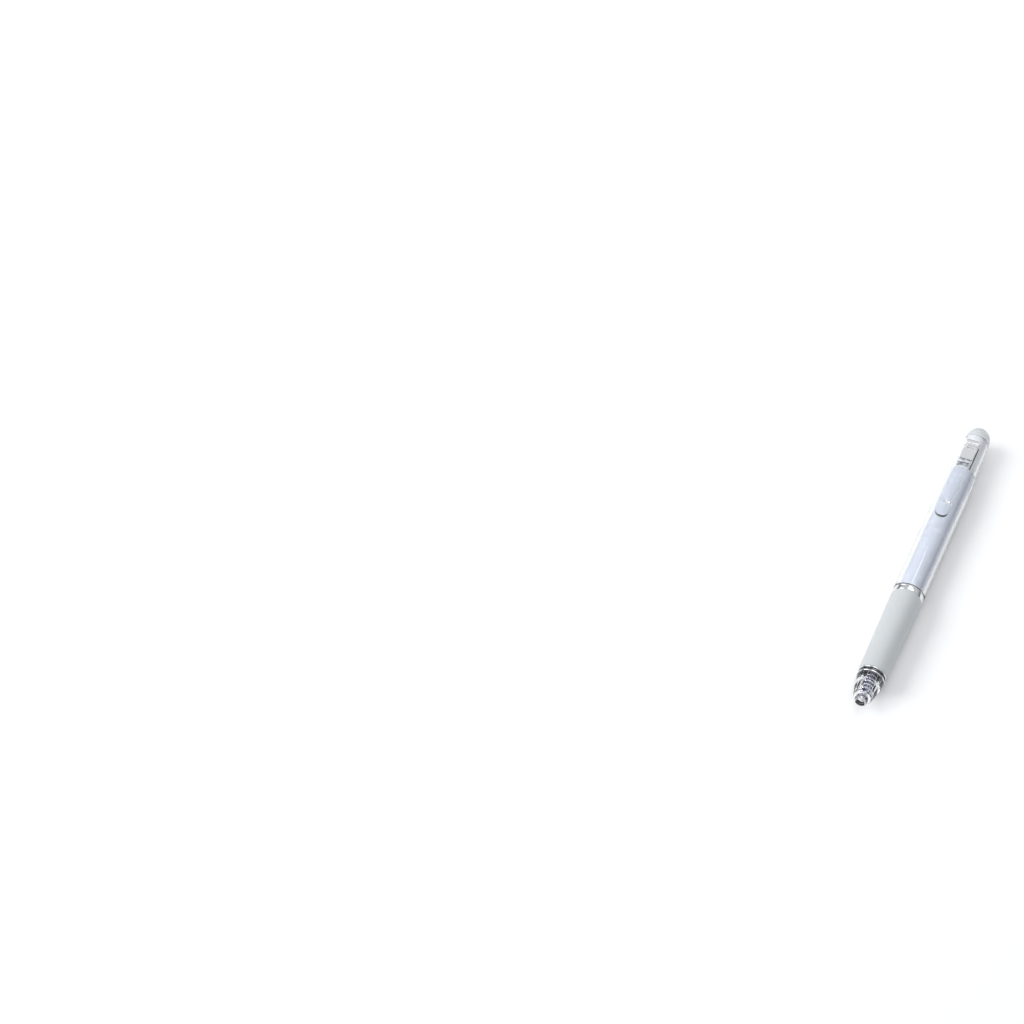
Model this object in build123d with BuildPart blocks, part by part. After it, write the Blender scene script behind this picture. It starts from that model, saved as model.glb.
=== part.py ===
# Retractable gel pen with a clip that is also the knock.
#
# The pen lies along X with its tip towards +X and its clip up, on the plane Z = 0.
# Lengths along the pen are stations: millimetres back from the front face of the nose
# cone. Each turned piece is a (station, radius) outline turned about the pen's axis.

from build123d import *
import math
import os

os.makedirs("parts", exist_ok=True)

# ---------------------------------------------------------------- driving sizes (mm)

# Outside
pen_length = 143.0
barrel_diameter = 11.8
nose_length = 11.0
front_ring_length = 2.3
grip_length = 38.1
middle_ring_length = 2.7
dome_length = 6.5

# Fits
running_gap = 0.05  # radial, between pieces that turn or slide on each other
seat_gap = 0.05  # radial, between pieces pushed together for good
side_gap = 0.1  # each side of the knock's stem in its slots
end_gap = 0.1  # along the pen, between pieces that stop just short of each other
cut_margin = 1.0  # how far a cutter stands out past the surface it opens

# Nose cone
nose_end_radius = 1.75
nose_mid_radius = 4.2
nose_mid_share = 0.55  # how far along the cone its middle radius is measured
nose_base_radius = 4.95
nose_hole_radius = 1.25
nose_land = 0.9
neck_room_radius = 1.7
spring_ledge = 3.0  # station of the ledge that the return spring pushes on
spring_bore_radius = 2.45
refill_bore_station = 9.0
refill_bore_gap = 0.15  # round the refill
spigot_radius = 3.9
spigot_length = 9.0
socket_room = 0.5  # between the spigot's end and the socket's

# Rings, grip and core
front_ring_radius = 5.15
front_lip_length = 0.6
ring_recess_length = 1.2
ring_recess_radius = 4.75
middle_ring_step = 0.05  # how far the ring stands in from the barrel
ring_rounding = 0.35
grip_front_radius = 5.25
grip_back_step = 0.1  # how far the grip's rear stands in from the barrel
grip_rounding = 0.3
core_radius = 4.5
core_bore_gap = 0.35  # round the refill
core_tail_length = 8.0

# Barrel
barrel_wall = 1.2
rear_bore_radius = 3.9
rear_bore_length = 18.5
barrel_back_share = 0.7966  # of the barrel's radius, at its rear
taper_length = 36.0
taper_mid_share = 0.895  # of the barrel's radius, halfway along the taper
liner_wall = 0.45

# Click mechanism
click_travel = 4.4  # how far the refill comes forward and stays, once latched
over_travel = 1.0  # extra push before the rotor latches
slot_width = 4.4
slot_room = 0.6  # in front of the stem when it is pushed all the way
slot_to_back = 5.9
stem_length = 6.2
stem_end_gap = 0.2
sleeve_wall = 0.6
sleeve_flange = 0.9
guide_rib_count = 4  # and as many lugs on the rotor
guide_rib_width = 1.2
guide_rib_radius = 2.6
rotor_lead = 1.2  # how much longer the rotor is than the click's travel
rotor_radius = 2.4
rotor_lug_length = 4.0
rotor_lug_width = 0.9
rotor_lug_setback = 0.2  # behind the crown's teeth
lug_gap = 0.12  # radial, between the lugs and the cam sleeve
latch_clearance = 0.2  # between lugs and ribs when the rotor turns across
crown_count = 8
crown_depth = 0.9
crown_gap = 0.15
plunger_radius = 2.45
plunger_lead = 0.6  # how far the plunger reaches in front of the stem
collar_clearance = 0.3  # between the moving pieces and the collar
tongue_inset = 1.0  # the tongue that snaps into the plunger is shorter than the stem
tongue_low = 0.6  # its foot, above the axis

# Knock block and clip
clip_width = 4.8
clip_rise = 2.5  # from the barrel to the top of the clip
clip_thickness = 1.4
clip_reach = 31.5
block_length = 12.4
block_over_barrel = 0.3
block_overhang = 0.3  # behind the stem
brow_radius = 1.8
thumb_grooves = 3
thumb_groove_pitch = 1.2
thumb_groove_radius = 0.25
thumb_groove_start = 3.2  # from the block's back to the last groove
clip_end_lift = 0.5
clip_end_thinning = 0.4
clip_end_flat = 0.6  # width of the straight part of its rounded end
bead_radius = 1.2
bead_from_end = 9.0
bead_gap = 0.15
bead_root = 0.3  # how far the bead reaches up into the blade

# Dome and its collar
dome_overhang = 0.02  # beyond the barrel's rear
dome_shoulder_share = 0.93  # of the radius, where the rounded end begins
dome_tail_share = 0.55  # of the length, taken by the rounded end
collar_length = 4.4
collar_post_radius = 2.5
collar_post_length = 3.6

# Refill, tip and springs
point_station = 1.6  # how deep the drawn-back point sits
ball_radius = 0.25
ball_gap = 0.02
tip_lip = 0.06
feed_radius = 0.12
tip_cone_length = 2.4
tip_radius = 1.0
tip_bare_length = 0.4
tip_shank_radius = 0.8
tip_shank_length = 4.6
ink_channel_radius = 0.42
channel_wall = 0.3
neck_radius = 1.1
neck_length = 2.6
neck_flare = 2.0
stalk_radius = 1.5
shoulder_station = 17.0
shoulder_radius = 2.6
shoulder_taper = 0.6
shoulder_length = 3.0
refill_radius = 2.95
refill_wall = 0.5
holder_plug_length = 5.0
funnel_wall = 0.6  # at the wide end of the holder's funnel
tail_length = 5.0
tail_cap_length = 0.8
tail_vent_radius = 0.5
ink_gap = 0.02
ink_level_share = 0.72
follower_length = 6.0
spring_wire = 0.45
spring_radius = 1.97  # to the middle of the wire
spring_turns = 9
tip_wire = 0.12
tip_spring_radius = 0.27
tip_spring_turns = 7
tip_spring_pitch = 0.45

# ---------------------------------------------------------------- worked-out sizes

axis_height = barrel_diameter / 2
barrel_radius = barrel_diameter / 2
barrel_bore_radius = barrel_radius - barrel_wall
barrel_back_radius = barrel_radius * barrel_back_share
taper_mid_radius = barrel_radius * taper_mid_share
middle_ring_radius = barrel_radius - middle_ring_step
grip_back_radius = barrel_radius - grip_back_step
liner_radius = barrel_bore_radius - seat_gap
core_tail_radius = liner_radius - liner_wall - seat_gap
core_bore_radius = refill_radius + core_bore_gap
refill_bore_radius = refill_radius + refill_bore_gap
clip_top_radius = barrel_radius + clip_rise
dome_radius = barrel_back_radius + dome_overhang
slot_length = stem_end_gap + stem_length + click_travel + over_travel + slot_room
rotor_length = click_travel + rotor_lead
ring_front = nose_length
grip_front = ring_front + front_ring_length
grip_back = grip_front + grip_length
barrel_front = grip_back + middle_ring_length
barrel_back = pen_length - dome_length
rear_bore_front = barrel_back - rear_bore_length

pen_plane = Plane((0, 0, axis_height), x_dir=(1, 0, 0), z_dir=(0, -1, 0))
pen_axis = Axis((0, 0, axis_height), (1, 0, 0))


def at(station):
    """X of a station."""
    return pen_length / 2 - station


def turned(*outline, mode=Mode.ADD):
    """Turn a closed (station, radius) outline about the pen's axis."""
    with BuildSketch(pen_plane) as profile:
        with BuildLine():
            Polyline([(at(s), r) for s, r in outline], close=True)
        make_face()
    revolve(profile.sketch, axis=pen_axis, mode=mode)


def ring(front, back, outer, inner, mode=Mode.ADD):
    """A plain ring or, with no inner radius, a plain plug."""
    turned((front, inner), (front, outer), (back, outer), (back, inner), mode=mode)


def rib(angle, front, back, low, high, width):
    """Add a straight rib along the pen, at an angle about its axis from straight up."""
    turn = math.radians(angle)
    up = Vector(0, math.sin(turn), math.cos(turn))
    foot_centre = Vector(at((front + back) / 2), 0, axis_height) + up * low
    with BuildSketch(Plane(foot_centre, x_dir=(1, 0, 0), z_dir=up)) as foot:
        Rectangle(back - front, width)
    extrude(foot.sketch, amount=high - low)


def crown_notches(face, depth, outer, turn=0.0):
    """Cut a zigzag crown into the end face at a station; depth is signed backwards."""
    half_pitch = math.pi * outer / crown_count
    for k in range(crown_count // 2):
        angle = math.radians(turn) + math.pi * (2 * k + 1) / crown_count
        across = (0, math.sin(angle), math.cos(angle))
        side = Plane((at(face), 0, axis_height), x_dir=(1, 0, 0), z_dir=across)
        with BuildSketch(side) as notch:
            with BuildLine():
                Polyline((0, -half_pitch), (-depth, 0), (0, half_pitch), close=True)
            make_face()
        extrude(notch.sketch, amount=outer * 2, both=True, mode=Mode.SUBTRACT)


def save(piece, name):
    piece.part.label = name
    export_step(piece.part, f"parts/{name}.step")


# ---------------------------------------------------------------- nose cone
# Clear blunt cone. Inside are the tip's hole, the spring's ledge and the refill's bore;
# its spigot screws into the grip core.

spigot_back = nose_length + spigot_length
nose_mid = nose_length * nose_mid_share

with BuildPart() as nose_cone:
    with BuildSketch(pen_plane):
        with BuildLine():
            end_face = Line((at(0), nose_hole_radius), (at(0), nose_end_radius))
            Spline(
                end_face @ 1,
                (at(nose_mid), nose_mid_radius),
                (at(nose_length), nose_base_radius),
                tangents=[(-0.35, 1), (-1, 0.12)],
            )
            Polyline(
                (at(nose_length), nose_base_radius),
                (at(nose_length), spigot_radius),
                (at(spigot_back), spigot_radius),
                (at(spigot_back), refill_bore_radius),
                (at(refill_bore_station), refill_bore_radius),
                (at(refill_bore_station), spring_bore_radius),
                (at(spring_ledge), spring_bore_radius),
                (at(spring_ledge), neck_room_radius),
                (at(nose_land), neck_room_radius),
                (at(nose_land), nose_hole_radius),
                (at(0), nose_hole_radius),
            )
        make_face()
    revolve(axis=pen_axis)
save(nose_cone, "nose_cone")

# ---------------------------------------------------------------- rings, grip and core

with BuildPart() as front_ring:
    ring(ring_front, grip_front, front_ring_radius, spigot_radius + running_gap)
    outer_edges = front_ring.edges().filter_by(GeomType.CIRCLE).group_by(SortBy.RADIUS)[-1]
    fillet(outer_edges, ring_rounding)
    recess_front = ring_front + front_lip_length
    recess_back = recess_front + ring_recess_length
    recess_outer = front_ring_radius + cut_margin
    ring(recess_front, recess_back, recess_outer, ring_recess_radius, mode=Mode.SUBTRACT)
save(front_ring, "front_ring")

socket_back = spigot_back + socket_room

with BuildPart() as grip_core:
    turned(
        (grip_front, spigot_radius + running_gap),
        (grip_front, core_radius),
        (barrel_front, core_radius),
        (barrel_front, core_tail_radius),
        (barrel_front + core_tail_length, core_tail_radius),
        (barrel_front + core_tail_length, core_bore_radius),
        (socket_back, core_bore_radius),
        (socket_back, spigot_radius + running_gap),
    )
save(grip_core, "grip_core")

with BuildPart() as grip_sleeve:
    with BuildSketch(pen_plane):
        with BuildLine():
            front_face = Line((at(grip_front), core_radius), (at(grip_front), grip_front_radius))
            swell = Spline(
                front_face @ 1,
                (at(grip_back), grip_back_radius),
                tangents=[(-1, 0.03), (-1, 0)],
            )
            Polyline(swell @ 1, (at(grip_back), core_radius), front_face @ 0)
        make_face()
    revolve(axis=pen_axis)
    rims = grip_sleeve.edges().filter_by(GeomType.CIRCLE).group_by(SortBy.RADIUS)[1:]
    fillet([edge for group in rims for edge in group], grip_rounding)
save(grip_sleeve, "grip_sleeve")

with BuildPart() as middle_ring:
    ring(grip_back, barrel_front, middle_ring_radius, core_radius)
    outer_edges = middle_ring.edges().filter_by(GeomType.CIRCLE).group_by(SortBy.RADIUS)[-1]
    fillet(outer_edges, ring_rounding)
save(middle_ring, "middle_ring")

# ---------------------------------------------------------------- barrel and liner
# Clear tube, straight to the clip's middle and then drawn in towards the rear. A step in
# its bore seats the cam sleeve, and a slot in its top lets the knock's stem through.

taper_front = barrel_back - taper_length
slot_back = barrel_back - slot_to_back
slot_front = slot_back - slot_length


def box_slot(front, back, width, low, high):
    """Cut an upright slot between two stations and two heights above the axis."""
    with BuildSketch(Plane.XY.offset(axis_height + low)) as opening:
        with Locations((at((front + back) / 2), 0)):
            Rectangle(back - front, width)
    extrude(opening.sketch, amount=high - low, mode=Mode.SUBTRACT)


with BuildPart() as barrel:
    with BuildSketch(pen_plane):
        with BuildLine():
            Polyline(
                (at(barrel_back), barrel_back_radius),
                (at(barrel_back), rear_bore_radius),
                (at(rear_bore_front), rear_bore_radius),
                (at(rear_bore_front), barrel_bore_radius),
                (at(barrel_front), barrel_bore_radius),
                (at(barrel_front), barrel_radius),
                (at(taper_front), barrel_radius),
            )
            Spline(
                (at(taper_front), barrel_radius),
                (at(taper_front + taper_length / 2), taper_mid_radius),
                (at(barrel_back), barrel_back_radius),
                tangents=[(-1, 0), (-1, -0.01)],
            )
        make_face()
    revolve(axis=pen_axis)
    box_slot(slot_front, slot_back, slot_width, 0, barrel_radius + cut_margin)
save(barrel, "barrel")

liner_back = rear_bore_front - sleeve_flange - end_gap

with BuildPart() as barrel_liner:
    ring(barrel_front, liner_back, liner_radius, liner_radius - liner_wall)
save(barrel_liner, "barrel_liner")

# ---------------------------------------------------------------- cam sleeve
# Fixed guide of the click mechanism. Four ribs inside keep the rotor's lugs in line while
# it is drawn back; their front ends are the latch. A slot in its top clears the stem.

stem_width = slot_width - 2 * side_gap
sleeve_radius = rear_bore_radius - seat_gap
sleeve_bore = sleeve_radius - sleeve_wall
collar_front = barrel_back - collar_length
stem_back = slot_back - stem_end_gap
stem_front = stem_back - stem_length
plunger_front = stem_front - plunger_lead
rotor_back = plunger_front - crown_gap
rotor_front = rotor_back - rotor_length
lug_back = rotor_back - crown_depth - rotor_lug_setback
lug_front = lug_back - rotor_lug_length
rib_front = lug_back - click_travel + latch_clearance
rib_back = collar_front - collar_clearance
lug_radius = sleeve_bore - lug_gap

with BuildPart() as cam_sleeve:
    turned(
        (rear_bore_front - sleeve_flange, sleeve_bore),
        (rear_bore_front - sleeve_flange, liner_radius),
        (rear_bore_front, liner_radius),
        (rear_bore_front, sleeve_radius),
        (collar_front, sleeve_radius),
        (collar_front, sleeve_bore),
    )
    rib_root = sleeve_bore + sleeve_wall / 2
    for k in range(guide_rib_count):
        angle = (k + 0.5) * 360 / guide_rib_count
        rib(angle, rib_front, rib_back, guide_rib_radius, rib_root, guide_rib_width)
    box_slot(slot_front, slot_back, slot_width, 0, barrel_radius)
save(cam_sleeve, "cam_sleeve")

# ---------------------------------------------------------------- rotor and plunger

with BuildPart() as rotor:
    ring(rotor_front, rotor_back, rotor_radius, 0)
    for k in range(guide_rib_count):
        angle = k * 360 / guide_rib_count
        rib(angle, lug_front, lug_back, rotor_radius / 2, lug_radius, rotor_lug_width)
    crown_notches(rotor_back, -crown_depth, rotor_radius)
    ring(rotor_back - 2 * crown_depth, rotor_back, rotor_radius / 2, 0, mode=Mode.SUBTRACT)
save(rotor, "rotor")

plunger_back = collar_front - collar_clearance

with BuildPart() as plunger:
    ring(plunger_front, plunger_back, plunger_radius, 0)
    crown_notches(plunger_front, crown_depth, plunger_radius, turn=180 / crown_count)
    ring(plunger_front, plunger_front + 2 * crown_depth, rotor_radius / 2, 0, mode=Mode.SUBTRACT)
    tongue_front = stem_front + tongue_inset
    tongue_back = stem_back - tongue_inset
    box_slot(tongue_front, tongue_back, stem_width * 2, tongue_low, plunger_radius + cut_margin)
save(plunger, "plunger")

# ---------------------------------------------------------------- knock block
# The thumb's block rides on the barrel's back, over the slot. Its stem goes down through
# the slot and snaps into the plunger. A round groove in its front takes the clip's root.

block_back = stem_back + block_overhang
block_front = block_back - block_length
block_low = taper_mid_radius + block_over_barrel
root_radius = clip_thickness / 2
root_height = clip_top_radius - root_radius
root_station = block_front + root_radius
last_groove = block_back - thumb_groove_start

with BuildPart() as knock_block:
    with BuildSketch(pen_plane):
        with BuildLine():
            base = Polyline(
                (at(root_station), clip_top_radius),
                (at(root_station), block_low),
                (at(block_back), block_low),
                (at(block_back), clip_top_radius - brow_radius),
            )
            brow_end = (at(block_back - brow_radius), clip_top_radius)
            brow = TangentArc(base @ 1, brow_end, tangent=(0, 1))
            Line(brow @ 1, base @ 0)
        make_face()
        with Locations((at(root_station), root_height)):
            Circle(root_radius + running_gap, mode=Mode.SUBTRACT)
        for k in range(thumb_grooves):
            with Locations((at(last_groove - k * thumb_groove_pitch), clip_top_radius)):
                Circle(thumb_groove_radius, mode=Mode.SUBTRACT)
    extrude(amount=clip_width / 2, both=True)
    with BuildSketch(Plane.XY.offset(axis_height + plunger_radius)):
        with Locations((at((stem_front + stem_back) / 2), 0)):
            Rectangle(stem_length, stem_width)
    extrude(amount=block_low - plunger_radius)
    with BuildSketch(Plane.XY.offset(axis_height + tongue_low)):
        with Locations((at((stem_front + stem_back) / 2), 0)):
            Rectangle(tongue_back - tongue_front - 2 * seat_gap, stem_width / 2)
    extrude(amount=block_low - tongue_low)
save(knock_block, "knock_block")

# ---------------------------------------------------------------- clip
# Clear blade with a round root that rocks in the block's groove, a bead under its end
# that presses on the barrel, and a rounded end that turns up a little.

clip_end = root_station - clip_reach
bead_station = clip_end + bead_from_end
bead_height = barrel_radius + bead_gap + bead_radius
clip_low = clip_top_radius - clip_thickness

with BuildPart() as clip:
    with BuildSketch(pen_plane):
        with BuildLine():
            top = Line((at(root_station), clip_top_radius), (at(bead_station), clip_top_radius))
            lift = Spline(
                top @ 1,
                (at(clip_end), clip_top_radius + clip_end_lift),
                tangents=[(1, 0), (1, 0.12)],
            )
            end_foot = (at(clip_end), clip_low + clip_end_lift + clip_end_thinning)
            end = Line(lift @ 1, end_foot)
            under = Spline(
                end @ 1,
                (at(bead_station), clip_low),
                tangents=[(-1, -0.12), (-1, 0)],
            )
            blade = Line(under @ 1, (at(root_station), clip_low))
            ThreePointArc(blade @ 1, (at(root_station + root_radius), root_height), top @ 0)
        make_face()
    extrude(amount=clip_width / 2, both=True)
    end_corners = clip.edges().filter_by(Axis.Z).group_by(Axis.X)[-1]
    fillet(end_corners, (clip_width - clip_end_flat) / 2)
    with BuildSketch(pen_plane):
        with BuildLine():
            dome_arc = CenterArc((at(bead_station), bead_height), bead_radius, -90, 90)
            Polyline(
                dome_arc @ 1,
                (at(bead_station) + bead_radius, clip_low + bead_root),
                (at(bead_station), clip_low + bead_root),
                dome_arc @ 0,
            )
        make_face()
    revolve(axis=Axis((at(bead_station), 0, 0), (0, 0, 1)))
save(clip, "clip")

# ---------------------------------------------------------------- dome and collar

dome_seat_radius = collar_post_radius + seat_gap
dome_seat_back = barrel_back + collar_post_length + end_gap
dome_shoulder = pen_length - dome_length * dome_tail_share

with BuildPart() as dome_collar:
    turned(
        (collar_front, 0),
        (collar_front, rear_bore_radius - seat_gap),
        (barrel_back, rear_bore_radius - seat_gap),
        (barrel_back, collar_post_radius),
        (barrel_back + collar_post_length, collar_post_radius),
        (barrel_back + collar_post_length, 0),
    )
save(dome_collar, "dome_collar")

with BuildPart() as end_dome:
    with BuildSketch(pen_plane):
        with BuildLine():
            seat = Polyline(
                (at(pen_length), 0),
                (at(dome_seat_back), 0),
                (at(dome_seat_back), dome_seat_radius),
                (at(barrel_back), dome_seat_radius),
                (at(barrel_back), dome_radius),
            )
            Spline(
                seat @ 1,
                (at(dome_shoulder), dome_radius * dome_shoulder_share),
                (at(pen_length), 0),
                tangents=[(-1, 0), (0, -1)],
            )
        make_face()
    revolve(axis=pen_axis)
save(end_dome, "end_dome")

# ---------------------------------------------------------------- writing tip
# The ball turns in a lip at the end of the steel tip; a fine spring behind it keeps the
# lip sealed.

ball_station = point_station + ball_radius
tip_front = point_station + ball_radius / 2
cone_back = point_station + tip_cone_length
holder_front = cone_back + tip_bare_length
shank_back = holder_front + tip_shank_length

with BuildPart() as tip_ball:
    with Locations((at(ball_station), 0, axis_height)):
        Sphere(ball_radius)
save(tip_ball, "tip_ball")

with BuildPart() as tip_body:
    turned(
        (tip_front, 0),
        (tip_front, ball_radius + tip_lip),
        (cone_back, tip_radius),
        (holder_front, tip_radius),
        (holder_front, tip_shank_radius),
        (shank_back, tip_shank_radius),
        (shank_back, 0),
    )
    with Locations((at(ball_station), 0, axis_height)):
        Sphere(ball_radius + ball_gap, mode=Mode.SUBTRACT)
    ring(ball_station, shank_back, feed_radius, 0, mode=Mode.SUBTRACT)
    ring(ball_station + 2 * ball_radius, shank_back, ink_channel_radius, 0, mode=Mode.SUBTRACT)
save(tip_body, "tip_body")

tip_spring_front = ball_station + 2 * ball_radius + tip_wire
tip_spring_length = tip_spring_turns * tip_spring_pitch


def coil(front, length, pitch, radius, wire):
    """Sweep a round wire along a helix that starts at a station and runs back."""
    start = Plane((at(front), 0, axis_height), x_dir=(0, 0, 1), z_dir=(-1, 0, 0))
    path = Helix(pitch=pitch, height=length, radius=radius)
    path = start.from_local_coords(path)
    with BuildSketch(Plane(path @ 0, z_dir=path % 0)) as section:
        Circle(wire / 2)
    sweep(section.sketch, path=path, is_frenet=True)


with BuildPart() as tip_spring:
    coil(tip_spring_front, tip_spring_length, tip_spring_pitch, tip_spring_radius, tip_wire)
save(tip_spring, "tip_spring")

# ---------------------------------------------------------------- refill

tube_front = shoulder_station + shoulder_length
tube_bore = refill_radius - refill_wall
refill_back = rotor_front
tube_back = refill_back - tail_cap_length
channel_radius = ink_channel_radius + channel_wall

with BuildPart() as tip_holder:
    turned(
        (holder_front, tip_shank_radius),
        (holder_front, neck_radius),
        (holder_front + neck_length, neck_radius),
        (holder_front + neck_length + neck_flare, stalk_radius),
        (shoulder_station, stalk_radius),
        (shoulder_station, shoulder_radius),
        (shoulder_station + shoulder_taper, refill_radius),
        (tube_front, refill_radius),
        (tube_front, tube_bore - seat_gap),
        (tube_front + holder_plug_length, tube_bore - seat_gap),
        (tube_front + holder_plug_length, tube_bore - funnel_wall),
        (tube_front, channel_radius),
        (shank_back, channel_radius),
        (shank_back, tip_shank_radius),
    )
save(tip_holder, "tip_holder")

with BuildPart() as refill_tube:
    ring(tube_front, tube_back, refill_radius, tube_bore)
save(refill_tube, "refill_tube")

ink_front = tube_front + holder_plug_length + end_gap
ink_room = tube_back - tail_length - ink_front
ink_back = ink_front + ink_room * ink_level_share

with BuildPart() as ink:
    ring(ink_front, ink_back, tube_bore - ink_gap, 0)
save(ink, "ink")

with BuildPart() as ink_follower:
    ring(ink_back, ink_back + follower_length, tube_bore - ink_gap, 0)
save(ink_follower, "ink_follower")

with BuildPart() as refill_tail:
    turned(
        (tube_back - tail_length, tail_vent_radius),
        (tube_back - tail_length, tube_bore - seat_gap),
        (tube_back, tube_bore - seat_gap),
        (tube_back, refill_radius),
        (refill_back, refill_radius),
        (refill_back, tail_vent_radius),
    )
save(refill_tail, "refill_tail")

# ---------------------------------------------------------------- return spring

spring_front = spring_ledge + spring_wire / 2 + seat_gap
spring_length = shoulder_station - spring_wire / 2 - seat_gap - spring_front

with BuildPart() as return_spring:
    coil(spring_front, spring_length, spring_length / spring_turns, spring_radius, spring_wire)
save(return_spring, "return_spring")
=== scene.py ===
import math

import bmesh
import bpy
from mathutils import Euler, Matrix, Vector


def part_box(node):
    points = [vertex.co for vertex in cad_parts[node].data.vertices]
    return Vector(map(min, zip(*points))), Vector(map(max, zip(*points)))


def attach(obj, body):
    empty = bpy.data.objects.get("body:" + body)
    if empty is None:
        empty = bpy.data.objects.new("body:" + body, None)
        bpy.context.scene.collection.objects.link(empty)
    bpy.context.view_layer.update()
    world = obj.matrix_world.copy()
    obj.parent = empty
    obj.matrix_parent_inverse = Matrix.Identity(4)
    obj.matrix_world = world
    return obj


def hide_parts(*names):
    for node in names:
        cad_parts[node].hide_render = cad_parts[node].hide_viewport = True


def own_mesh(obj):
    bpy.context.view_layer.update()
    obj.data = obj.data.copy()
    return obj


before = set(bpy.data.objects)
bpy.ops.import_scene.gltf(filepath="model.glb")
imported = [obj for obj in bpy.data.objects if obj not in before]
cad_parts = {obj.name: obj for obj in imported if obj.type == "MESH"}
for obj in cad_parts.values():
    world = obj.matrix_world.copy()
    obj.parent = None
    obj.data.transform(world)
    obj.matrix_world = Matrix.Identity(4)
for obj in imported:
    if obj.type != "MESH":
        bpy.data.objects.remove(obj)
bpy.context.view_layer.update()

# ------------------------------------------------------------------ nose cone
# Blunt cone moulded in clear plastic. Stepped bores and shallow flutes show inside it,
# and the thread on its spigot screws it into the grip core.

# The pen's axis runs along X at axis_z. Stations are millimetres back from the tip's face.
MM = 0.001
tip_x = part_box("nose_cone")[1].x
barrel_low, barrel_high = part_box("barrel")
axis_z = (barrel_low.z + barrel_high.z) / 2


def at(station):
    """Where a station lies along X."""
    return tip_x - station * MM


def station_of(x):
    """The station of a place along X."""
    return (tip_x - x) / MM


def curve(start, start_way, end, end_way, count):
    """Points of a smooth run from start to end, leaving and arriving along the ways."""
    points = []
    for step in range(count + 1):
        t = step / count
        a = 2 * t**3 - 3 * t**2 + 1
        b = t**3 - 2 * t**2 + t
        c = 3 * t**2 - 2 * t**3
        d = t**3 - t**2
        points.append(tuple(
            start[i] * a + start_way[i] * b + end[i] * c + end_way[i] * d for i in (0, 1)
        ))
    return points


def rounded(outline, radius, steps=4):
    """Round the true corners of a closed outline, as far as their sides allow."""
    result = []
    for i, corner in enumerate(outline):
        here = Vector(corner)
        before = Vector(outline[i - 1]) - here
        after = Vector(outline[(i + 1) % len(outline)]) - here
        if here.y == 0 or math.degrees(before.angle(after)) > 160:
            result.append(corner)
            continue
        reach = min(radius, before.length * 0.45, after.length * 0.45)
        start = here + before.normalized() * reach
        end = here + after.normalized() * reach
        for k in range(steps + 1):
            t = k / steps
            result.append(tuple(start * (1 - t) ** 2 + here * 2 * t * (1 - t) + end * t**2))
    return result


def evaluated(seed, name):
    """Replace a piece by the plain mesh piece that its modifiers make of it."""
    bpy.context.view_layer.update()
    graph = bpy.context.evaluated_depsgraph_get()
    mesh = bpy.data.meshes.new_from_object(seed.evaluated_get(graph))
    bpy.data.objects.remove(seed)
    mesh.name = name
    piece = bpy.data.objects.new(name, mesh)
    bpy.context.collection.objects.link(piece)
    return piece


CREASE = 35  # degrees
LARGEST_FACES = 100  # how far they outweigh the small ones


def smoothed(piece, name):
    """Shade a piece smooth between creases, keeping its large faces optically flat."""
    piece.data.shade_smooth()
    piece.data.set_sharp_from_angle(angle=math.radians(CREASE))
    weighted = piece.modifiers.new("weighted", "WEIGHTED_NORMAL")
    weighted.keep_sharp = True
    weighted.weight = LARGEST_FACES
    return evaluated(piece, name)


def finish_mesh(form, name):
    """Close a mesh up, point its faces outwards and shade it."""
    bmesh.ops.remove_doubles(form, verts=form.verts, dist=1e-7)
    bmesh.ops.delete(form, geom=[e for e in form.edges if not e.link_faces], context="EDGES")
    bmesh.ops.recalc_face_normals(form, faces=form.faces)
    mesh = bpy.data.meshes.new(name)
    form.to_mesh(mesh)
    form.free()
    piece = bpy.data.objects.new(name, mesh)
    bpy.context.collection.objects.link(piece)
    return smoothed(piece, name)


def lathe(name, outline, around=128, wave=None):
    """Turn a closed (station, radius) outline about the pen's axis into one piece.

    wave(station, radius, angle) gives the radius where the piece isn't quite round.
    """
    form = bmesh.new()
    rows = []
    for step in range(around):
        angle = 2 * math.pi * step / around
        row = []
        for station, radius in outline:
            reach = (wave(station, radius, angle) if wave else radius) * MM
            place = (at(station), reach * math.sin(angle), axis_z + reach * math.cos(angle))
            row.append(form.verts.new(place))
        rows.append(row)
    for i, row in enumerate(rows):
        after = rows[(i + 1) % around]
        for j in range(len(row)):
            k = (j + 1) % len(row)
            form.faces.new((row[j], row[k], after[k], after[j]))
    return finish_mesh(form, name)


def shader_group(name, inputs, outputs):
    """An empty shader group with its named inputs and outputs."""
    tree = bpy.data.node_groups.new(name, "ShaderNodeTree")
    for label, kind, value in inputs:
        socket = tree.interface.new_socket(name=label, in_out="INPUT", socket_type=kind)
        if value is not None:
            socket.default_value = value
    for label, kind in outputs:
        tree.interface.new_socket(name=label, in_out="OUTPUT", socket_type=kind)
    return tree, tree.nodes.new("NodeGroupInput"), tree.nodes.new("NodeGroupOutput")


def link(tree, source, target):
    """Join one socket to another."""
    tree.links.new(source, target)


# Handling: patches of finer and duller polish, hair-fine scratches and a fine grain.
handling, taken, given = shader_group(
    "handling",
    [
        ("Vector", "NodeSocketVector", None),
        ("Patch Scale", "NodeSocketFloat", 300.0),
        ("Polish", "NodeSocketFloat", 0.1),
        ("Dullness", "NodeSocketFloat", 0.3),
        ("Grain Scale", "NodeSocketFloat", 4000.0),
        ("Scratches", "NodeSocketFloat", 0.2),
    ],
    [("Roughness", "NodeSocketFloat"), ("Height", "NodeSocketFloat")],
)
patches = handling.nodes.new("ShaderNodeTexNoise")
patches.inputs["Detail"].default_value = 5.0
patches.inputs["Roughness"].default_value = 0.6
spread = handling.nodes.new("ShaderNodeMapRange")
spread.inputs["From Min"].default_value = 0.35
spread.inputs["From Max"].default_value = 0.7
grain = handling.nodes.new("ShaderNodeTexNoise")
grain.inputs["Detail"].default_value = 3.0
stretch = handling.nodes.new("ShaderNodeMapping")
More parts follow.
